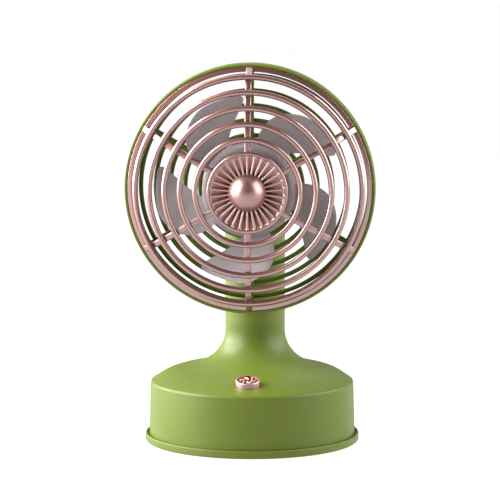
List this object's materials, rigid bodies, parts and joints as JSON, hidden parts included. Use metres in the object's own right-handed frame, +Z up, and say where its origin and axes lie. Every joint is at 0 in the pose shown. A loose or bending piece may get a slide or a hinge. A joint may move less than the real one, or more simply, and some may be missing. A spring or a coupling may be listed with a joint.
{
  "type": "desk fan",
  "caption": "Tabletop fan with a round drum base, sloping neck, tilting caged head, pitched-blade impeller and one push button.",
  "frame": {"origin": "on the table under the middle of the round base, on the rubber foot's underside", "axes": "+Z up; the fan blows towards -Y; +X is to the right of someone facing the grille"},
  "size_m": [0.146, 0.1266, 0.2245],
  "materials": {
    "green_plastic": "satin moulded plastic, soft-touch",
    "rose_paint": "satin rose-gold metallic paint on plastic",
    "mauve_plastic": "satin moulded plastic",
    "rubber": "matte",
    "steel": "zinc plated",
    "bronze": "sintered",
    "copper": "enamelled wire",
    "ferrite": "dull",
    "black_plastic": "moulded",
    "circuit_board": "solder mask",
    "cell_wrap": "shrink sleeve",
    "lead_sleeve": "matte sleeve"
  },
  "bodies": {
    "base": {"foot_pad": "rubber", "base_tray": "green_plastic", "base_shell": "green_plastic", "base_weight": "steel", "battery_cradle": "black_plastic", "battery_cell": "cell_wrap", "battery_strap": "black_plastic", "control_board": "circuit_board", "lead_connector": "black_plastic", "usb_port": "steel", "switch_board": "circuit_board", "switch_board_screws": "steel", "tact_switch": "black_plastic", "tray_screws": "steel", "board_screws": "steel", "neck_screw": "steel", "tilt_fork": "green_plastic", "tilt_bolt": "steel", "tilt_nut": "steel", "tilt_washers": "steel", "tilt_caps": "green_plastic", "neck_lead": "lead_sleeve", "battery_lead": "lead_sleeve", "switch_lead": "lead_sleeve"},
    "button": {"power_button": "rose_paint", "switch_plunger": "black_plastic"},
    "head": {"shroud": "green_plastic", "rear_guard": "green_plastic", "motor_cover": "green_plastic", "motor_can": "steel", "motor_end_cap": "black_plastic", "front_bearing": "bronze", "rear_bearing": "bronze", "motor_magnets": "ferrite", "motor_brushes": "copper", "motor_terminals": "bronze", "guard_screws": "steel", "motor_screws": "steel", "grille_lock_screw": "steel", "front_grille": "rose_paint", "grille_medallion": "rose_paint", "grille_dome": "rose_paint", "motor_lead": "lead_sleeve"},
    "rotor": {"impeller": "mauve_plastic", "impeller_bush": "bronze", "motor_shaft": "steel", "armature": "steel", "commutator": "copper", "windings": "copper"}
  },
  "joints": [
    {"name": "head_tilt", "type": "hinge", "parent": "base", "child": "head", "pos_m": [0, 0.0315, 0.1515], "axis": [-1, 0, 0], "range_deg": [-10, 20]},
    {"name": "impeller_spin", "type": "hinge", "parent": "head", "child": "rotor", "pos_m": [0, -0.02, 0.1515], "axis": [0, 1, 0], "continuous": true},
    {"name": "power_button_press", "type": "slide", "parent": "base", "child": "button", "axis": [0, 0.225, -0.9744], "range_m": [0, 0.0008], "stiffness_N_per_m": 1500}
  ]
}
